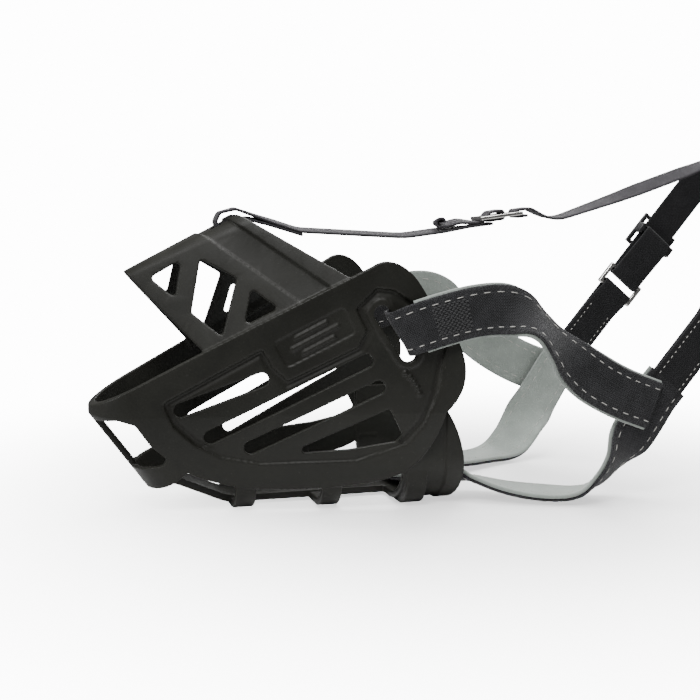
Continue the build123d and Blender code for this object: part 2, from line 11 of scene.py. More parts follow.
import bpy
import numpy as np
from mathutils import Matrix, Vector


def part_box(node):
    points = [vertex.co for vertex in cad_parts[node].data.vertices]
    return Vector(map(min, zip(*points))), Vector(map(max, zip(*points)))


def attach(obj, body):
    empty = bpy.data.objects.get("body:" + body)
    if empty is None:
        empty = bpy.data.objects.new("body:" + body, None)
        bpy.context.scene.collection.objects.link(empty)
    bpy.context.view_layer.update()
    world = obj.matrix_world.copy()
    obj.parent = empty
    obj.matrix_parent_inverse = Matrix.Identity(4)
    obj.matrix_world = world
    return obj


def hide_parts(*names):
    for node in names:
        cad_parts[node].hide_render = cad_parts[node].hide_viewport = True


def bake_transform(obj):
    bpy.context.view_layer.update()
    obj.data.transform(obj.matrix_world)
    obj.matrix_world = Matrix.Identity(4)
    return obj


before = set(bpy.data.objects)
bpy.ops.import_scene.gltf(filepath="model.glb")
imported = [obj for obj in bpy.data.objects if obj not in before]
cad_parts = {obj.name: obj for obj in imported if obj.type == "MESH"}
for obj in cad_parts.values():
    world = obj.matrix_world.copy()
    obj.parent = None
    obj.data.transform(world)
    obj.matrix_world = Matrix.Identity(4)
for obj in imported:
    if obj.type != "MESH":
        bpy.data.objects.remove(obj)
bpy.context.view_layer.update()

# %% [markdown]
# ## Where things are
# Everything on this muzzle is laid out from the front of the nose band, so one helper turns
# "so many millimetres behind the nose" into the scene's metres.

# %% Places
MM = 0.001
nose_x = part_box("basket")[0][0]


def behind(x, y=0.0, z=0.0):
    """A point in metres, from millimetres behind the nose, to the side and above the floor."""
    return np.array((nose_x + x * MM, y * MM, z * MM))


# %% [markdown]
# ## Camera, light and floor
# A product picture wants a long lens, a white floor and big soft lights.  One large panel high on
# the near side shapes the basket, a second from the nose draws thin highlights along its edges,
# and a low one behind separates the dark straps from each other.

# %% Camera
view_centre = Vector(behind(132.0, 0.0, 74.0))
view_turn = math.radians(16.0)
view_tilt = math.radians(7.0)
view_distance = 0.600
toward = Vector((math.sin(view_turn) * math.cos(view_tilt), math.cos(view_turn) * math.cos(view_tilt),
                 -math.sin(view_tilt)))
bpy.ops.object.camera_add(location=view_centre - toward * view_distance)
camera = bpy.context.object
camera.rotation_mode = "QUATERNION"
camera.rotation_quaternion = toward.to_track_quat("-Z", "Y")
camera.data.sensor_width = 36.0
camera.data.lens = 60.2
camera.data.clip_start = 0.01
bpy.context.scene.camera = camera


# %% Lights and floor
def soft_light(name, place, size, power):
    """A square soft box that points at the muzzle."""
    bpy.ops.object.light_add(type="AREA", location=place)
    light = bpy.context.object
    light.name = name
    light.data.size = size
    light.data.energy = power
    light.rotation_mode = "QUATERNION"
    light.rotation_quaternion = (view_centre - Vector(place)).to_track_quat("-Z", "Y")


soft_light("key_light", (-0.40, -0.62, 1.00), 0.40, 10.5)
soft_light("nose_light", (-1.05, -0.10, 0.40), 0.45, 5.0)
soft_light("back_light", (0.55, 0.85, 0.75), 0.6, 12.5)
soft_light("top_light", (0.05, 0.15, 1.25), 0.7, 20.0)

world = bpy.data.worlds.new("studio")
bpy.context.scene.world = world
world.use_nodes = True
sky = world.node_tree.nodes["Background"]
sky.inputs["Color"].default_value = (1.0, 1.0, 1.0, 1.0)
seen = world.node_tree.nodes.new("ShaderNodeLightPath")
brightness = world.node_tree.nodes.new("ShaderNodeMapRange")
brightness.inputs["To Min"].default_value = 0.17
brightness.inputs["To Max"].default_value = 14.0
world.node_tree.links.new(seen.outputs["Is Camera Ray"], brightness.inputs["Value"])
world.node_tree.links.new(brightness.outputs["Result"], sky.inputs["Strength"])

bpy.ops.mesh.primitive_circle_add(vertices=96, radius=4.0, fill_type="NGON", location=(0, 0, 0))
floor = bpy.context.object
floor.name = "studio_floor"


# %% [markdown]
# ## A small language for materials
# Wiring nodes one by one hides the idea of a material.  Here a class wraps a node's output, so a
# pattern is written as a formula: `1 - mask * 0.3` adds the maths nodes by itself.

# %% Socket arithmetic
class Value:
    """One output socket of a material, which can be used in a formula."""

    def __init__(self, tree, socket):
        self.tree = tree
        self.socket = socket

    def math(self, operation, *others):
        return node(self.tree, "ShaderNodeMath", {"operation": operation}, [self, *others])

    def __add__(self, other):
        return self.math("ADD", other)

    __radd__ = __add__

    def __mul__(self, other):
        return self.math("MULTIPLY", other)

    __rmul__ = __mul__

    def __sub__(self, other):
        return self.math("SUBTRACT", other)

    def __rsub__(self, other):
        return (self * -1.0) + other

    def __truediv__(self, other):
        return self.math("DIVIDE", other)

    def soft(self, low, high):
        """0 below low, 1 above high, smooth between."""
        return node(self.tree, "ShaderNodeMapRange", {"interpolation_type": "SMOOTHSTEP", "clamp": True},
                    {"Value": self, "From Min": low, "From Max": high})


def node(tree, kind, settings=None, inputs=None, output=0):
    """Adds any node: its settings first, then its sockets' values or links."""
    made = tree.nodes.new(kind)
    for name, value in (settings or {}).items():
        setattr(made, name, value)
    pairs = inputs.items() if isinstance(inputs, dict) else enumerate(inputs or ())
    for key, value in pairs:
        if isinstance(value, Value):
            tree.links.new(value.socket, made.inputs[key])
        else:
            made.inputs[key].default_value = value
    return Value(tree, made.outputs[output])


def new_finish(name, roughness, **shader):
    """An empty material with a Principled shader whose plain numbers are already set."""
    material = bpy.data.materials.new(name)
    material.use_nodes = True
    tree = material.node_tree
    surface = tree.nodes["Principled BSDF"]
    surface.inputs["Roughness"].default_value = roughness
    for key, value in shader.items():
        surface.inputs[key.replace("_", " ")].default_value = value
    return material, tree, surface


def noise(tree, where, scale, detail=3.0, roughness=0.5):
    """Cloudy variation from 0 to 1; scale is in features for each metre."""
    return node(tree, "ShaderNodeTexNoise", None,
                {"Vector": where, "Scale": scale, "Detail": detail, "Roughness": roughness})


def blend_colour(tree, mask, first, second):
    """One colour where mask is 0, the other where it is 1."""
    made = tree.nodes.new("ShaderNodeMix")
    made.data_type = "RGBA"
    for socket, value in ((made.inputs[0], mask), (made.inputs[6], first), (made.inputs[7], second)):
        if isinstance(value, Value):
            tree.links.new(value.socket, socket)
        elif isinstance(value, tuple):
            socket.default_value = (*value, 1.0)
        else:
            socket.default_value = value
    return Value(tree, made.outputs[2])


def dress(tree, surface, colour, roughness=None, height=None, distance=0.0001, strength=0.5):
    """Feeds the shader: colour, roughness and a bump from a height pattern."""
    tree.links.new(colour.socket, surface.inputs["Base Color"])
    if roughness is not None:
        tree.links.new(roughness.socket, surface.inputs["Roughness"])
    if height is not None:
        bump = node(tree, "ShaderNodeBump", None,
                    {"Strength": strength, "Distance": distance, "Height": height})
        tree.links.new(bump.socket, surface.inputs["Normal"])


def object_place(tree):
    return node(tree, "ShaderNodeTexCoord", None, None, "Object")


# %% [markdown]
# ## Moulded silicone
# The basket is poured in one piece from soft black silicone with a faint olive cast.  It is matt,
# but handling leaves it unevenly satin, and dust settles in a cloudy film.  Three sizes of noise do
# that: broad film, finger-sized polish and the mould's fine grain.

# %% Silicone
def silicone_finish():
    material, tree, surface = new_finish("moulded_silicone", 0.5, Specular_IOR_Level=0.25)
    where = object_place(tree)
    film = noise(tree, where, 28.0, 4.0, 0.6).soft(0.35, 0.75)
    polish = noise(tree, where, 95.0, 3.0)
    grain = noise(tree, where, 2600.0, 2.0)
    speck = noise(tree, where, 900.0, 1.0).soft(0.71, 0.76)
    base = blend_colour(tree, film, (0.0115, 0.0115, 0.0092), (0.0170, 0.0170, 0.0138))
    colour = blend_colour(tree, speck * 0.2, base, (0.06, 0.06, 0.055))
    dress(tree, surface, colour, 0.36 + film * 0.12 + polish * 0.12 + grain * 0.03,
          grain + polish * 0.8, 0.00012, 0.35)
    return material


silicone = silicone_finish()


# %% [markdown]
# ## Cloth that follows the strap
# Each strap carries its own map: U runs along it and V across it, both in metres, measured from
# the strap's middle.  The weave is drawn on that map, so ribs stay square to the strap however it
# twists.  The same map drives the edge colour, where the looped margins look greyer.

# %% Woven finishes
def strap_map(tree):
    """The strap's own coordinates: distance along it and distance across it, in metres."""
    place = node(tree, "ShaderNodeUVMap", {"uv_map": "strap"})
    parts = tree.nodes.new("ShaderNodeSeparateXYZ")
    tree.links.new(place.socket, parts.inputs[0])
    return Value(tree, parts.outputs[0]), Value(tree, parts.outputs[1]), place


def wave(value, pitch, shift=0.0):
    """A cosine hill from 0 to 1 that repeats every pitch metres."""
    return ((value / pitch + shift) * (2 * math.pi)).math("COSINE") * 0.5 + 0.5


def woven_finish(name, hollow_shade_colour, rib_light_and_wear_colour, rib, thread, margin=None, margin_colour=None, sheen=0.12):
    """Black webbing: ribs across it, threads along it and a looped margin, with painted shade in the weave's
    hollows and painted light on the rib tops.
    """
    material, tree, surface = new_finish(name, 0.72, Sheen_Weight=sheen, Sheen_Roughness=0.45,
                                         Specular_IOR_Level=0.2)
    along, across, place = strap_map(tree)
    row = (across / thread).math("FLOOR").math("MODULO", 2.0) * 0.5
    ribs = wave(along, rib, row)
    threads = wave(across, thread)
    fuzz = noise(tree, place, 1900.0, 3.0, 0.7)
    wear = noise(tree, place, 130.0, 3.0)
    height = ribs * 0.6 + threads * 0.35 + fuzz * 0.5
    # painted shade and light: the colour follows the weave's height, dark in its hollows and light on the
    # rib tops, with random wear mixed in
    relief_shade_and_wear = (height * 0.55 + wear * 0.35).soft(0.25, 0.95)
    colour = blend_colour(tree, relief_shade_and_wear, hollow_shade_colour, rib_light_and_wear_colour)
    if margin is not None:
        edge = across.math("ABSOLUTE").soft(margin - 0.0006, margin + 0.0008)
        loops = node(tree, "ShaderNodeTexVoronoi", {"feature": "F1"}, {"Vector": place, "Scale": 1150.0})
        tuft = 1.0 - loops.soft(0.1, 0.65)
        colour = blend_colour(tree, edge * tuft * 0.8, colour, margin_colour)
        height = height + edge * tuft * 1.2
    dress(tree, surface, colour, 0.66 + relief_shade_and_wear * 0.14, height, 0.00035, 0.9)
    return material


# each webbing's first colour is painted shade for the weave's hollows, its second is painted light on the
# rib tops and also the worn colour
ribbon_cloth = woven_finish("ribbed_ribbon", (0.0012, 0.0012, 0.0015), (0.048, 0.048, 0.052), 0.00115,
                            0.0007, 0.0074, (0.050, 0.050, 0.054))
neck_cloth = woven_finish("flat_webbing", (0.002, 0.002, 0.0025), (0.020, 0.020, 0.022), 0.0013, 0.0008)
forehead_cloth = woven_finish("forehead_webbing", (0.014, 0.013, 0.015), (0.075, 0.071, 0.080), 0.0009,
                              0.0006)


# %% Lining
def lining_finish():
    """Grey-green brushed jersey on foam, with a fine honeycomb of stitches whose sunk lines carry painted
    shade.
    """
    material, tree, surface = new_finish("soft_lining", 0.85, Sheen_Weight=0.5, Sheen_Roughness=0.5,
                                         Specular_IOR_Level=0.25)
    _, across, place = strap_map(tree)
    cells = node(tree, "ShaderNodeTexVoronoi", {"feature": "F1"}, {"Vector": place, "Scale": 950.0})
    dimple_and_shade = cells.soft(0.05, 0.55)
    cloud = noise(tree, place, 110.0, 4.0, 0.6).soft(0.3, 0.75)
    nap = noise(tree, place, 2200.0, 2.0)
    base = blend_colour(tree, cloud, (0.290, 0.325, 0.298), (0.370, 0.405, 0.375))
    # painted shade: the honeycomb's sunk lines are coloured darker by the same mask that sinks them in the
    # bump
    colour = blend_colour(tree, dimple_and_shade * 0.45, base, (0.225, 0.255, 0.232))
    edge = across.math("ABSOLUTE").soft(0.0112, 0.0128)
    colour = blend_colour(tree, edge * 0.5, colour, (0.185, 0.205, 0.190))
    dress(tree, surface, colour, 0.80 + nap * 0.15, nap * 0.6 - dimple_and_shade, 0.00022, 0.6)
    return material


lining_cloth = lining_finish()


# %% Thread
def thread_finish(name, bright, dull):
    """Twisted polyester thread: a slanting ply and slightly dirty hollows."""
    material, tree, surface = new_finish(name, 0.55, Sheen_Weight=0.3)
    where = object_place(tree)
    twist = node(tree, "ShaderNodeTexWave", {"wave_type": "BANDS", "bands_direction": "DIAGONAL"},
                 {"Vector": where, "Scale": 900.0, "Distortion": 1.0})
    grime = noise(tree, where, 160.0, 2.0)
    colour = blend_colour(tree, twist * 0.35 + grime * 0.4, bright, dull)
    dress(tree, surface, colour, 0.5 + twist * 0.2, twist, 0.00006, 0.5)
    return material


thread = thread_finish("stitch_thread", (0.52, 0.51, 0.48), (0.28, 0.275, 0.26))
black_thread = thread_finish("black_thread", (0.024, 0.024, 0.026), (0.004, 0.004, 0.005))


# %% [markdown]
# ## Plastic and nickel
# The buckle halves are injection moulded with a spark-eroded skin: fine, even pits, polished a
# little where fingers press.  The wire slider and the ring are nickel plated, so almost all of
# their look is reflection; faint brushed streaks and clouding keep them from looking like mirrors.

# %% Hard finishes
def plastic_finish():
    material, tree, surface = new_finish("acetal_plastic", 0.42, Specular_IOR_Level=0.5)
    where = object_place(tree)
    pits = noise(tree, where, 3200.0, 2.0)
    rub = noise(tree, where, 140.0, 3.0).soft(0.35, 0.7)
    colour = blend_colour(tree, rub, (0.010, 0.010, 0.011), (0.019, 0.019, 0.020))
    dress(tree, surface, colour, 0.48 - rub * 0.14 + pits * 0.05, pits, 0.00006, 0.5)
    return material


def nickel_finish():
    material, tree, surface = new_finish("nickel_plate", 0.16, Metallic=1.0)
    where = object_place(tree)
    drawn_out = node(tree, "ShaderNodeMapping", None, {"Vector": where, "Scale": (1.0, 14.0, 14.0)})
    streaks = noise(tree, drawn_out, 260.0, 3.0)
    cloud = noise(tree, where, 190.0, 2.0).soft(0.4, 0.7)
    colour = blend_colour(tree, cloud, (0.66, 0.65, 0.63), (0.50, 0.49, 0.47))
    dress(tree, surface, colour, 0.12 + streaks * 0.14 + cloud * 0.08, streaks, 0.00003, 0.25)
    return material


plastic = plastic_finish()
nickel = nickel_finish()


def floor_finish():
    material, tree, surface = new_finish("studio_white", 0.6)
    where = object_place(tree)
    tint = noise(tree, where, 1.5, 1.0)
    dress(tree, surface, blend_colour(tree, tint, (0.90, 0.90, 0.90), (0.93, 0.93, 0.93)))
    # the floor fades into the white surroundings away from the muzzle
    distance = node(tree, "ShaderNodeVectorMath", {"operation": "LENGTH"}, [where], 1)
    fade = 0.93 - distance.soft(0.06, 0.42) * 0.93
    tree.links.new(fade.socket, surface.inputs["Alpha"])
    return material


floor.data.materials.append(floor_finish())


# %% [markdown]
# ## Copying a moulding and rolling its edges
# A CAD solid arrives as loose triangles with sharp corners.  A copy is merged first.  For the
# basket a voxel remesh rebuilds the skin evenly, a smooth pass melts the corners, and a decimate
# pass takes back the triangles that flat areas don't need.  Small parts only get a bevel.

# %% Copy helpers
def only(piece):
    """Selects one object and nothing else."""
    bpy.ops.object.select_all(action="DESELECT")
    piece.select_set(True)
    bpy.context.view_layer.objects.active = piece


def apply_modifier(piece, kind, **settings):
    """Adds a modifier with its settings and applies it."""
    only(piece)
    made = piece.modifiers.new(kind.lower(), kind)
    for name, value in settings.items():
        setattr(made, name, value)
    bpy.ops.object.modifier_apply(modifier=made.name)


def copied(source, name):
    """A merged copy of a CAD node, in world coordinates, ready to be worked on."""
    bpy.ops.object.select_all(action="DESELECT")
    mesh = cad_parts[source].data.copy()
    mesh.transform(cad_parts[source].matrix_world)
    piece = bpy.data.objects.new(name, mesh)
    bpy.context.collection.objects.link(piece)
    mesh.materials.clear()
    only(piece)
    bpy.ops.object.mode_set(mode="EDIT")
    bpy.ops.mesh.select_all(action="SELECT")
    bpy.ops.mesh.remove_doubles(threshold=0.00001)
    bpy.ops.object.mode_set(mode="OBJECT")
    return piece


def settle(piece, body, material):
    """The piece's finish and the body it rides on."""
    piece.data.materials.clear()
    piece.data.materials.append(material)
    if body is not None:
        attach(piece, body)
    print(piece.name, len(piece.data.polygons), "faces")


# %% [markdown]
# ## Raised marks on the basket
# Each side carries a blank plate with three plain grip bars, and a row of five dots that stands for
# the size.  They are laid a little into the wall, joined to the copy, and the remesh fuses them.
# Two helpers work on the remeshed skin: one presses a groove round the sunk field, the other melts
# the visor's tip, which the frame leaves sharp.

# %% Places on the side walls
flare = math.radians(9.5)
nose_radius = 26.0


def wall_point(x, z, side, proud=0.0):
    """A point on the outside of a side wall, and the wall's turn about the vertical."""
    half = nose_radius * math.cos(flare) + (x - nose_radius * (1 - math.sin(flare))) * math.tan(flare)
    out = np.array((-math.sin(flare), side * math.cos(flare), 0.0))
    return behind(x, side * half, z) + out * proud * MM, side * flare


def raised_mark(size, x, z, side, proud, slope):
    """A flat-topped bar or dot half sunk in a side wall; size is along, through and across it."""
    place, turn = wall_point(x, z, side, proud)
    bpy.ops.mesh.primitive_cube_add(size=1.0, location=place, rotation=(0.0, -slope, turn))
    mark = bpy.context.object
    mark.scale = [value * MM for value in size]
    bpy.ops.object.transform_apply(location=True, rotation=True, scale=True)
    apply_modifier(mark, "BEVEL", width=0.45 * min(size) * MM, segments=3)
    return mark


plate_centre = (103.6, 85.4)
plate_slope = math.radians(27.3)
plate_floor = -0.7
field_floor = -1.0
dot_ring, dot_radius = (134.0, 52.0), 20.0    # the dots lie on part of this circle
first_turn, dot_turn = 16.0, 9.0
marks = []
for side in (-1, 1):
    for row, length in ((-4.0, 18.0), (0.0, 26.0), (4.0, 18.0)):
        marks.append(raised_mark((length, 2.0, 2.2), plate_centre[0] - row * math.sin(plate_slope),
                                 plate_centre[1] + row * math.cos(plate_slope), side, plate_floor,
                                 plate_slope))
    for dot in range(5):
        turn = math.radians(first_turn + dot_turn * dot)
        marks.append(raised_mark((2.5, 2.2, 2.5), dot_ring[0] + dot_radius * math.cos(turn),
                                 dot_ring[1] + dot_radius * math.sin(turn), side, field_floor, 0.0))


def engrave(piece, outline, depth, reach):
    """Presses a soft groove along a closed outline into the outside of both side walls."""
    count = len(piece.data.vertices)
    spots, normals = np.empty(count * 3), np.empty(count * 3)
    piece.data.vertices.foreach_get("co", spots)
    piece.data.vertices.foreach_get("normal", normals)
    spots, normals = spots.reshape(-1, 3), normals.reshape(-1, 3)
    seen_from_side = np.stack([(spots[:, 0] - nose_x) / MM, spots[:, 2] / MM], axis=1)
    half = nose_radius * math.cos(flare) + (seen_from_side[:, 0] - nose_radius) * math.tan(flare)
    outside = (np.sign(spots[:, 1]) * normals[:, 1] > 0.6) & (np.abs(spots[:, 1]) / MM > half - 2.0)
    nearest = np.full(count, np.inf)
    corners = np.array(outline, float)
    for a, b in zip(corners, np.roll(corners, -1, axis=0)):
        share = np.clip((seen_from_side - a) @ (b - a) / ((b - a) @ (b - a)), 0, 1)
        apart = np.linalg.norm(seen_from_side - a - share[:, None] * (b - a), axis=1)
        nearest = np.minimum(nearest, apart)
    push = depth * MM * np.exp(-(nearest / reach) ** 2) * outside
    piece.data.vertices.foreach_set("co", (spots - normals * push[:, None]).ravel())
    piece.data.update()


def round_corner(piece, centre, reach, repeats):
    """Melts the shape round a line across the muzzle, given behind the nose and above the floor."""
    group = piece.vertex_groups.new(name="corner")
    for vertex in piece.data.vertices:
        distance = math.hypot((vertex.co.x - nose_x) / MM - centre[0], vertex.co.z / MM - centre[1])
        if distance < reach:
            group.add([vertex.index], min(1.0, 2.0 - 2.0 * distance / reach), "REPLACE")
    apply_modifier(piece, "SMOOTH", factor=0.5, iterations=repeats, vertex_group="corner")
    piece.vertex_groups.clear()


# %% Basket
visor_tip = (18.0, 116.0)
field_edge = ((34.5, 54.2), (38.9, 44.9), (48.0, 36.2), (60.6, 29.4), (78.2, 25.9), (123.8, 26.5),
              (147.1, 34.7), (154.6, 43.6), (160.5, 58.4), (164.4, 81.7), (153.8, 96.9), (140.5, 106.0),
              (133.3, 107.0), (124.7, 98.5), (129.8, 88.2), (125.2, 79.2), (90.7, 62.9), (82.9, 69.9),
              (78.4, 78.0))
groove_depth, groove_reach = 0.9, 1.5
tip_reach, tip_repeats = 7.0, 40
silicone_voxel = 0.00052
basket_faces = 95000
basket = copied("basket", "moulded_basket")
only(basket)
for mark in marks:
    mark.select_set(True)
bpy.ops.object.join()
apply_modifier(basket, "REMESH", mode="VOXEL", voxel_size=silicone_voxel)
apply_modifier(basket, "SMOOTH", factor=0.5, iterations=2)
engrave(basket, field_edge, groove_depth, groove_reach)
round_corner(basket, visor_tip, tip_reach, tip_repeats)
apply_modifier(basket, "DECIMATE", ratio=min(1.0, basket_faces / len(basket.data.polygons)))
only(basket)
bpy.ops.object.shade_smooth()
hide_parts("basket")
settle(basket, "muzzle", silicone)

# %% [markdown]
# ## Straps
# A strap is a ribbon swept through a list of stations: where it is, and which way its width points.
# The stations are the frame's own, given one by one along the route.  Between them a smooth spline
# carries both the middle line and the width.  The strip is laid down as a fine grid with its map,
# each rib pushed up by a cosine and each margin roughened, then given its thickness.

# %% Routes
cheek_run = (
    (181.0, 50.8, 96.2, (-0.15, 0.0, 1.0)),
    (168.0, 45.0, 93.6, (-0.30, -0.05, 0.95)),
    (152.0, 42.0, 90.0, (-0.50, -0.085, 0.86)),
    (145.0, 41.5, 87.4, (-0.54, -0.09, 0.84)),
    (143.4, 45.0, 87.0, (-0.54, -0.09, 0.84)),
    (145.6, 48.6, 87.4, (-0.54, -0.09, 0.84)),
    (152.5, 51.4, 90.2, (-0.46, -0.075, 0.89)),
    (165.0, 53.6, 94.0, (-0.24, -0.04, 0.97)),
    (178.0, 56.0, 97.2, (-0.10, 0.0, 1.0)),
    (191.0, 58.6, 98.4, (0.04, -0.15, 1.0)),
    (202.0, 60.6, 96.6, (0.20, -0.55, 0.80)),
    (211.0, 61.8, 90.4, (0.45, -0.80, 0.45)),
    (219.0, 62.4, 81.2, (0.60, -0.70, 0.45)),
    (228.0, 62.6, 72.0, (0.62, -0.30, 0.70)),
    (240.0, 62.4, 62.8, (0.58, 0.0, 0.80)),
    (254.0, 63.0, 55.4, (0.50, 0.0, 0.86)),
    (271.0, 63.0, 48.8, (0.42, 0.0, 0.90)),
)
lining_start = 6
collar_half_run = (
    (162.5, 0.0, 6.3, (-1.0, 0.0, 0.06)),
    (163.4, 8.5, 6.7, (-0.96, 0.26, 0.10)),
    (166.5, 15.6, 8.0, (-0.82, 0.52, 0.22)),
    (172.0, 21.0, 9.6, (-0.68, 0.64, 0.38)),
    (180.0, 24.2, 10.2, (-0.60, 0.66, 0.44)),
    (189.0, 27.6, 8.4, (-0.56, 0.78, 0.26)),
    (204.0, 36.0, 4.6, (-0.46, 0.88, 0.08)),
    (221.0, 44.6, 2.8, (-0.38, 0.92, 0.0)),
    (236.0, 50.6, 3.6, (-0.36, 0.92, 0.10)),
    (247.0, 53.8, 10.0, (-0.40, 0.82, 0.36)),
    (255.0, 56.2, 20.5, (-0.48, 0.66, 0.50)),
    (261.5, 57.7, 31.0, (-0.66, 0.16, 0.66)),
    (267.5, 58.0, 40.5, (-0.75, 0.02, 0.65)),
    (275.0, 58.0, 52.0, (-0.766, 0.0, 0.643)),
    (281.5, 58.0, 59.7, (-0.766, 0.0, 0.643)),
)


def sided(run, side):
    """The stations of one side as points and width directions; side is -1 or 1."""
    points = np.array([behind(x, side * y, z) for x, y, z, _ in run])
    widths = np.array([(a, side * b, c) for _, _, _, (a, b, c) in run])
    return points, widths


# %% Smooth sweep
def smooth_line(points, step):
    """Points along a smooth spline through the given ones, about one for each step of length."""
    points = np.asarray(points, float)
    padded = np.vstack([2 * points[0] - points[1], points, 2 * points[-1] - points[-2]])
    fine = []
    for i in range(1, len(padded) - 2):
        a, b, c, d = padded[i - 1:i + 3]
        t = np.linspace(0, 1, 24, endpoint=False)[:, None]
        fine.append(0.5 * (2 * b + (c - a) * t + (2 * a - 5 * b + 4 * c - d) * t ** 2
                           + (3 * b - a - 3 * c + d) * t ** 3))
    fine = np.vstack(fine + [padded[-2:-1]])
    length = np.concatenate([[0], np.cumsum(np.linalg.norm(np.diff(fine[:, :3], axis=0), axis=1))])
    along = np.linspace(0, length[-1], max(4, int(length[-1] / step)) + 1)
    return np.stack([np.interp(along, length, column) for column in fine.T], axis=1), along


def sweep(points, widths, step, flip=1.0):
    """Middle line, unit width and unit outer direction along a strap, with distances."""
    line, along = smooth_line(np.hstack([points, widths]), step)
    middle, across = line[:, :3], line[:, 3:]
    tangent = np.gradient(middle, axis=0)
    tangent /= np.linalg.norm(tangent, axis=1)[:, None]
    across = across - tangent * np.sum(across * tangent, axis=1)[:, None]
    across /= np.linalg.norm(across, axis=1)[:, None]
    outer = np.cross(tangent, across) * flip
    return middle, across, outer, along


# %% Strap mesh
def strap_mesh(name, path, width, thick, lift=0.0, rows=20, rib=None, rib_height=0.0, margin=None,
               crown=0.0, fuzz=0.0, seed=1):
    """Closed cloth strip round a swept path, with ribs, soft edges and its own strap map."""
    middle, across, outer, along = path
    half = width / 2
    round_off = np.linspace(0, math.pi, 5)[1:-1]
    face = np.linspace(-half + thick / 2, half - thick / 2, rows)
    ring = [(v, 1.0) for v in face]
    ring += [(half - thick / 2 + thick / 2 * math.sin(a), math.cos(a)) for a in round_off]
    ring += [(v, -1.0) for v in face[::-1]]
    ring += [(-half + thick / 2 - thick / 2 * math.sin(a), -math.cos(a)) for a in round_off]
    v = np.array([p[0] for p in ring])
    w = np.array([p[1] for p in ring])
    count, stations = len(ring), len(along)
    rng = np.random.default_rng(seed)
    height = np.tile(w * thick / 2, (stations, 1))
    if rib:
        inside = np.abs(v) < (margin or half)
        bump = 0.5 - 0.5 * np.cos(2 * math.pi * along / rib)
        height = height + np.outer(bump, np.sign(w) * inside * (np.abs(w) > 0.9)) * rib_height
    if crown:
        height = height - np.sign(w) * np.abs(w) * crown * (v / half) ** 4
    side = np.tile(v, (stations, 1))
    if fuzz:
        rough = rng.normal(0, 1, (stations, count)) * fuzz
        edge = np.clip((np.abs(v) - (margin or half * 0.9)) / (half * 0.15), 0, 1)
        height = height + rough * (0.25 + edge) * np.sign(w)
        side = side + rng.normal(0, 1, (stations, count)) * fuzz * edge * 0.8
    place = (middle[:, None, :] + across[:, None, :] * side[:, :, None]
             + outer[:, None, :] * (height + lift)[:, :, None])
    verts = place.reshape(-1, 3)
    faces = []
    for i in range(stations - 1):
        a, b = i * count, (i + 1) * count
        for j in range(count):
            k = (j + 1) % count
            faces.append((a + j, a + k, b + k, b + j))
    faces.append(tuple(range(count))[::-1])
    faces.append(tuple(range((stations - 1) * count, stations * count)))
    mesh = bpy.data.meshes.new(name)
    mesh.from_pydata(verts.tolist(), [], faces)
    piece = bpy.data.objects.new(name, mesh)
    bpy.context.collection.objects.link(piece)
    layer = mesh.uv_layers.new(name="strap")
    loops = np.empty(len(mesh.loops), int)
    mesh.loops.foreach_get("vertex_index", loops)
    uv = np.stack([along[loops // count], v[loops % count]], axis=1)
    layer.data.foreach_set("uv", uv.ravel())
    only(piece)
    bpy.ops.object.mode_set(mode="EDIT")
    bpy.ops.mesh.select_all(action="SELECT")
    bpy.ops.mesh.normals_make_consistent(inside=False)
    bpy.ops.object.mode_set(mode="OBJECT")
    bpy.ops.object.shade_smooth_by_angle(angle=math.radians(60))
    return piece


# %% Stitches
def stitch_row(path, offset, lift, pitch, dash, radius, start=0.0, stop=None):
    """Corners and faces of a row of short thread loops that dive into the cloth."""
    middle, across, outer, along = path
    stop = along[-1] if stop is None else stop
    verts, faces = [], []
    ring = 6
    bends = ((0.0, -0.55, 0.7), (0.12, 0.1, 0.95), (0.5, 0.45, 1.0), (0.88, 0.1, 0.95), (1.0, -0.55, 0.7))
    for first in np.arange(start + pitch / 2, stop - dash, pitch):
        base = len(verts)
        for share, rise, fat in bends:
            at = first + share * dash
            spot, wide, out = (np.array([np.interp(at, along, column) for column in part.T])
                               for part in (middle, across, outer))
            centre = spot + wide * offset + out * (lift + rise * radius)
            for k in range(ring):
                turn = 2 * math.pi * k / ring
                verts.append(centre + (wide * math.cos(turn) + out * math.sin(turn)) * radius * fat)
        for i in range(len(bends) - 1):
            for k in range(ring):
                n = (k + 1) % ring
                a, b = base + i * ring, base + (i + 1) * ring
                faces.append((a + k, a + n, b + n, b + k))
        faces.append(tuple(range(base, base + ring))[::-1])
        faces.append(tuple(range(base + (len(bends) - 1) * ring, base + len(bends) * ring)))
    return verts, faces


def stitches(name, rows, body, material=thread):
    """One piece of thread work from several rows."""
    verts, faces = [], []
    for row_verts, row_faces in rows:
        shift = len(verts)
        verts += [tuple(v) for v in row_verts]
        faces += [tuple(i + shift for i in f) for f in row_faces]
    mesh = bpy.data.meshes.new(name)
    mesh.from_pydata(verts, [], faces)
    piece = bpy.data.objects.new(name, mesh)
    bpy.context.collection.objects.link(piece)
    only(piece)
    bpy.ops.object.mode_set(mode="EDIT")
    bpy.ops.mesh.select_all(action="SELECT")
    bpy.ops.mesh.normals_make_consistent(inside=False)
    bpy.ops.object.mode_set(mode="OBJECT")
    bpy.ops.object.shade_smooth()
    settle(piece, body, material)


# %% Ribbon and lining sizes
ribbon_width, ribbon_thick = 24 * MM, 1.4 * MM
lining_width, lining_thick = 26 * MM, 2.2 * MM
layer_gap = 0.05 * MM
ribbon_rib = 1.15 * MM
ribbed_half = 7.4 * MM
stitch_line = 8.4 * MM
stitch_pitch, stitch_dash, stitch_radius = 6.0 * MM, 3.0 * MM, 0.25 * MM
patch_pitch, patch_dash, patch_radius = 2.3 * MM, 1.7 * MM, 0.42 * MM
patch_start, patch_stop = 61.0, 80.0          # along a cheek ribbon
lining_lift = -(ribbon_thick + lining_thick) / 2 - layer_gap


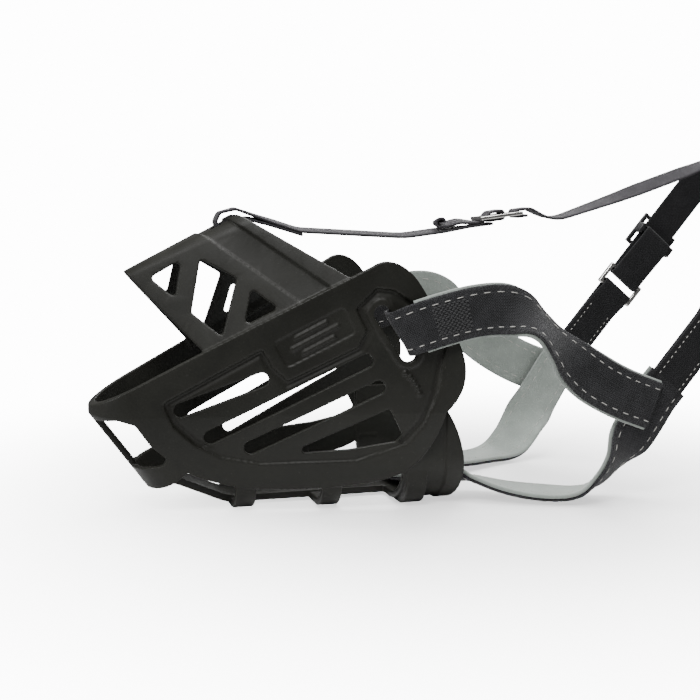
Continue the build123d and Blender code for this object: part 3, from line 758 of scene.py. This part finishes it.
# %% Cheek and throat straps
def lined_strap(name, ribbon_path, lining_path, ribbon_node, lining_node, seed):
    """A ribbed ribbon on its soft lining, with two rows of running stitch right through both."""
    ribbon = strap_mesh(f"{name}_ribbon_cloth", ribbon_path, ribbon_width, ribbon_thick, rows=26,
                        rib=ribbon_rib, rib_height=0.2 * MM, margin=ribbed_half, fuzz=0.035 * MM, seed=seed)
    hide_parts(ribbon_node)
    settle(ribbon, "muzzle", ribbon_cloth)
    lining = strap_mesh(f"{name}_lining_cloth", lining_path, lining_width, lining_thick, lift=lining_lift,
                        rows=18, crown=0.25 * MM, fuzz=0.012 * MM, seed=seed + 1)
    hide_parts(lining_node)
    settle(lining, "muzzle", lining_cloth)
    rows = []
    for offset in (-stitch_line, stitch_line):
        for path, lift in ((ribbon_path, ribbon_thick / 2), (lining_path, lining_lift - lining_thick / 2)):
            rows.append(stitch_row(path, offset, lift, stitch_pitch, stitch_dash, stitch_radius))
    stitches(f"{name}_stitches", rows, "muzzle")


cloth_step = 0.28 * MM
for side, word in ((-1, "left"), (1, "right")):
    points, widths = sided(cheek_run, side)
    cheek_path = sweep(points, widths, cloth_step, -side)
    lined_strap(f"cheek_{word}", cheek_path,
                sweep(points[lining_start:], widths[lining_start:], 2 * cloth_step, -side),
                f"cheek_ribbon_{word}", f"cheek_lining_{word}", 10 + side)
    # a dense patch of black sewing holds the turned-back end behind the slot
    patch = []
    for offset in np.arange(-7.0, 7.1, 1.0):
        patch.append(stitch_row(cheek_path, offset * MM, ribbon_thick / 2, patch_pitch, patch_dash,
                                patch_radius, (patch_start + offset % 2.0) * MM, patch_stop * MM))
    stitches(f"cheek_patch_{word}", patch, "muzzle", black_thread)

right_points, right_widths = sided(collar_half_run, 1)
left_points, left_widths = sided(collar_half_run, -1)
collar_points = np.vstack([right_points[:0:-1], left_points])
collar_widths = np.vstack([right_widths[:0:-1], left_widths])
lined_strap("throat", sweep(collar_points, collar_widths, 0.36 * MM),
            sweep(collar_points, collar_widths, 2 * cloth_step), "collar_ribbon", "collar_lining", 20)


# %% [markdown]
# ## Webbing that folds round bars
# The neck and forehead straps stay in one plane: straight runs joined by round turns.  The corners
# below are the frame's, and each turn becomes an arc.  Where two layers meet they are brought
# together and sewn, as the frame's plain solids don't show.

# %% Folded route
def folded(corners, radii, place, across, step, turns=((0.0, 0.0),)):
    """A swept path with rounded turns. turns gives the strap's own twist, as (metres, degrees)."""
    corners = [np.array(c, float) for c in corners]
    flat = [corners[0]]
    for (a, b, c), radius in zip(zip(corners, corners[1:], corners[2:]), radii):
        back, ahead = (a - b) / np.linalg.norm(a - b), (c - b) / np.linalg.norm(c - b)
        half = math.acos(max(-1.0, min(1.0, float(np.dot(back, ahead))))) / 2
        reach = radius / math.tan(half)
        centre = b + (back + ahead) / np.linalg.norm(back + ahead) * radius / math.sin(half)
        first, last = b + back * reach - centre, b + ahead * reach - centre
        swing = math.atan2(first[0] * last[1] - first[1] * last[0], float(np.dot(first, last)))
        for share in np.linspace(0, 1, max(3, int(abs(swing) / 0.16) + 2)):
            turn = swing * share
            flat.append(centre + np.array((first[0] * math.cos(turn) - first[1] * math.sin(turn),
                                           first[0] * math.sin(turn) + first[1] * math.cos(turn))))
    flat.append(corners[-1])
    points = np.array([place(*p) for p in flat])
    length = np.concatenate([[0], np.cumsum(np.linalg.norm(np.diff(points, axis=0), axis=1))])
    along = np.linspace(0, length[-1], max(4, int(length[-1] / step)) + 1)
    middle = np.stack([np.interp(along, length, column) for column in points.T], axis=1)
    tangent = np.gradient(middle, axis=0)
    tangent /= np.linalg.norm(tangent, axis=1)[:, None]
    outer = np.cross(tangent, np.array(across))
    outer /= np.linalg.norm(outer, axis=1)[:, None]
    wide = np.tile(across, (len(along), 1))
    twist = np.radians(np.interp(along, [t[0] for t in turns], [t[1] for t in turns]))[:, None]
    turned_wide = wide * np.cos(twist) + outer * np.sin(twist)
    turned_outer = outer * np.cos(twist) - wide * np.sin(twist)
    return middle, turned_wide, turned_outer, along


def webbing_piece(name, path, width, thick, rib, body, material, nodes, seed):
    """A plain webbing strap that stands for one or more frame nodes."""
    piece = strap_mesh(name, path, width, thick, rows=18, rib=rib, rib_height=0.10 * MM, fuzz=0.02 * MM,
                       seed=seed)
    if nodes:
        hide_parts(*nodes)
    settle(piece, body, material)
    return piece


# %% Neck loop
neck_pitch = math.radians(50.0)
joint_x, joint_z = 275.0, 52.0
neck_across = (-math.sin(neck_pitch), 0.0, math.cos(neck_pitch))
neck_along = (math.cos(neck_pitch), 0.0, math.sin(neck_pitch))


def on_neck(u, y, n=0.0):
    """A point of the neck loop: u up the loop from the joint, y to the side, n across the webbing."""
    return behind(joint_x + u * neck_along[0] + n * neck_across[0], y,
                  joint_z + u * neck_along[2] + n * neck_across[2])


webbing_width, webbing_thick = 20 * MM, 1.4 * MM
webbing_rib = 1.3 * MM
webbing_step = 0.33 * MM
neck_half = 58.0
sewn_gap = 1.55
fold = 1.26
leg = 4.4
stub_foot, stub_turn = 10.6, 60.8
ring_turn, return_foot = 66.4, 74.4
male_turn, male_end = 97.6, 101.8
straight, corner = 132.0, 24.0
nape = straight + corner
webbing_stitch = 7.2 * MM
tab_pitch, tab_dash, tab_radius = 3.2 * MM, 1.5 * MM, 0.24 * MM


def stub(side, word):
    """Doubled webbing from the strap joint to the buckle or the ring, sewn along both edges."""
    outer, inner, close = side * neck_half, side * (neck_half - leg), side * (neck_half - sewn_gap)
    corners = ((stub_foot - 9.0, outer), (stub_turn, outer), (stub_turn, inner), (stub_turn - 5.0, inner),
               (stub_turn - 14.0, close), (stub_foot, close))
    path = folded(corners, (fold, fold, 6.0, 6.0), on_neck, neck_across, webbing_step)
    webbing_piece(f"neck_tab_{word}", path, webbing_width, webbing_thick, webbing_rib, "muzzle",
                  neck_cloth, [f"neck_stub_{word}"], 30 + side)
    layer = folded(((stub_foot - 2.0, close), (stub_turn - 14.0, close)), (), on_neck, neck_across,
                   webbing_step)
    face = folded(((stub_foot - 2.0, outer), (stub_turn - 6.0, outer)), (), on_neck, neck_across,
                  webbing_step)
    rows = []
    for offset in (-webbing_stitch, webbing_stitch):
        for line, way in ((layer, side), (face, -side)):
            rows.append(stitch_row(line, offset, way * webbing_thick / 2, tab_pitch, tab_dash, tab_radius))
    stitches(f"neck_tab_stitches_{word}", rows, "muzzle")


for side, word in ((-1, "left"), (1, "right")):
    stub(side, word)

loop_corners = ((male_end + 15.0, -neck_half + sewn_gap), (male_end + 6.0, -neck_half + sewn_gap),
                (male_end - 1.0, -neck_half + leg), (male_turn, -neck_half + leg), (male_turn, -neck_half),
                (nape, -neck_half), (nape, neck_half), (ring_turn, neck_half), (ring_turn, neck_half - leg),
                (return_foot, neck_half - leg))
loop_path = folded(loop_corners, (5.0, 4.0, fold, fold, corner, corner, fold, fold), on_neck, neck_across,
                   webbing_step)
loop = webbing_piece("neck_webbing", loop_path, webbing_width, webbing_thick, webbing_rib, None,
                     neck_cloth, ["neck_strap", "neck_strap_end"], 34)
give_start = tuple(on_neck(straight - 2.0, -neck_half))
give_end = tuple(on_neck(nape, -neck_half + 42.0))
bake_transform(loop)

slider_mid = 97.9
hem_outer, hem_inner = 56.25, 52.05
return_corners = ((return_foot, neck_half - leg), (slider_mid - 6.0, hem_inner),
                  (slider_mid + 2.4, hem_inner), (slider_mid + 2.4, hem_outer),
                  (slider_mid - 4.0, hem_outer))
return_path = folded(return_corners, (12.0, fold, fold), on_neck, neck_across, webbing_step)
return_piece = webbing_piece("neck_return", return_path, webbing_width, webbing_thick, webbing_rib, None,
                             neck_cloth, ["neck_strap_return"], 35)
tuple(on_neck(return_foot, neck_half))
tuple(on_neck(return_foot + 13.0, neck_half))
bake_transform(return_piece)


# %% [markdown]
# ## Forehead strap
# A narrow charcoal webbing loops through the crest of the nose bridge, is doubled and sewn behind
# it, and threads a wire slider.  It isn't quite level: it rolls a little towards the near side.

# %% Forehead straps
def in_middle(x, z):
    return behind(x, 0.0, z)


forehead_width, forehead_thick = 10 * MM, 1.3 * MM
forehead_step = 0.22 * MM
forehead_rib = 0.9 * MM
sideways = (0.0, 1.0, 0.0)
crest_corners = ((106.5, 133.7), (88.0, 139.3), (78.0, 141.4), (70.6, 135.2), (66.4, 132.4), (62.9, 139.6),
                 (65.0, 144.0), (73.0, 146.0), (84.0, 142.2), (105.0, 135.4), (160.0, 132.2), (208.0, 138.2))
crest_radii = (14.0, 3.0, 2.0, 1.2, 2.5, 2.5, 4.0, 8.0, 20.0, 40.0)
crest_turns = ((0.0, -11.0), (0.022, -11.0), (0.036, 0.0), (0.058, 0.0), (0.085, 11.0), (0.174, 11.0),
               (0.188, 0.0))
crest_path = folded(crest_corners, crest_radii, in_middle, sideways, forehead_step, crest_turns)
webbing_piece("forehead_front", crest_path, forehead_width, forehead_thick, forehead_rib, "muzzle",
              forehead_cloth, ["forehead_strap"], 40)

slide_x, slide_z = 212.0, 142.2
slide_pitch = math.atan2(6.0, 48.0)


def on_slide(s, h):
    """A point of the forehead slider: s along the strap from its middle bar, h above it."""
    return in_middle(slide_x + s * math.cos(slide_pitch) - h * math.sin(slide_pitch),
                     slide_z + s * math.sin(slide_pitch) + h * math.cos(slide_pitch))


wrap = 1.75
tail_corners = ((-6.0, -wrap), (2.2, -wrap), (2.2, wrap + 0.9), (-5.0, wrap + 0.7), (-9.6, -wrap),
                (-13.0, -wrap), (-22.0, 0.0), (-30.0, -0.9), (-34.4, -0.9), (-34.4, 1.9), (-31.4, 1.9),
                (-31.4, 0.5))
tail_path = folded(tail_corners, (1.2, 1.4, 2.0, 1.2, 2.0, 6.0, 2.0, 1.0, 1.0, 0.7), on_slide, sideways,
                   forehead_step, ((0.0, 0.0), (0.024, 0.0), (0.035, -11.0)))
webbing_piece("forehead_tail_end", tail_path, forehead_width, forehead_thick, forehead_rib,
              "forehead_slider", forehead_cloth, ["forehead_tail"], 41)


def middle_of(point):
    """Millimetres behind the nose and above the floor, for a point in the middle plane."""
    return (point[0] - nose_x) / MM, point[2] / MM


nape_gap = 1.65
slider_corners = ((15.5, -wrap), (9.2, -wrap), (9.2, wrap), (17.5, wrap))
nape_corners = ((nape_gap, 14.4), (nape_gap, -11.4), (-nape_gap, -11.4), (-nape_gap, 12.4))
rear_corners = ([middle_of(on_slide(s, h)) for s, h in slider_corners]
                + [(243.0, 139.6), (280.0, 151.4), (330.0, 168.4)]
                + [middle_of(on_neck(nape + u, 0, n)) for u, n in nape_corners])
rear_radii = (1.1, 1.1, 5.0, 20.0, 60.0, 30.0, 12.0, 1.1, 1.1)
rear_turns = ((0.0, 0.0), (0.020, 0.0), (0.050, 14.0), (0.085, 32.0), (0.115, 30.0), (0.150, 0.0))
rear_path = folded(rear_corners, rear_radii, in_middle, sideways, forehead_step, rear_turns)
rear = webbing_piece("forehead_rear", rear_path, forehead_width, forehead_thick, forehead_rib, None,
                     forehead_cloth, ["forehead_strap_rear"], 42)
tuple(on_slide(17.0, 0.0))
tuple(behind(305.0, 0.0, 160.0))
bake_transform(rear)


# %% [markdown]
# ## Hardware
# Mouldings and wire keep the frame's own shapes.  A bevel breaks every edge, because light only
# finds a small part by its edges.

# %% Hard parts
def softened(source, name, body, material, width):
    """A copy of a hard part with its edges broken."""
    piece = copied(source, name)
    bpy.ops.object.mode_set(mode="EDIT")
    bpy.ops.mesh.select_all(action="SELECT")
    bpy.ops.mesh.dissolve_limited(angle_limit=math.radians(1.0))
    bpy.ops.object.mode_set(mode="OBJECT")
    apply_modifier(piece, "BEVEL", width=width, segments=3, limit_method="ANGLE",
                   angle_limit=math.radians(35.0), use_clamp_overlap=True)
    only(piece)
    bpy.ops.object.shade_smooth_by_angle(angle=math.radians(40))
    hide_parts(source)
    settle(piece, body, material)


softened("buckle_female", "female_housing", "muzzle", plastic, 0.45 * MM)
softened("buckle_male", "male_frame", "buckle_male", plastic, 0.45 * MM)
softened("buckle_prongs", "sprung_prongs", "buckle_male", plastic, 0.3 * MM)
softened("neck_adjuster", "neck_slider", "neck_adjuster", plastic, 0.35 * MM)
softened("adjuster_ring", "plated_ring", "muzzle", nickel, 0.7 * MM)
softened("forehead_slider", "plated_slider", "forehead_slider", nickel, 0.5 * MM)
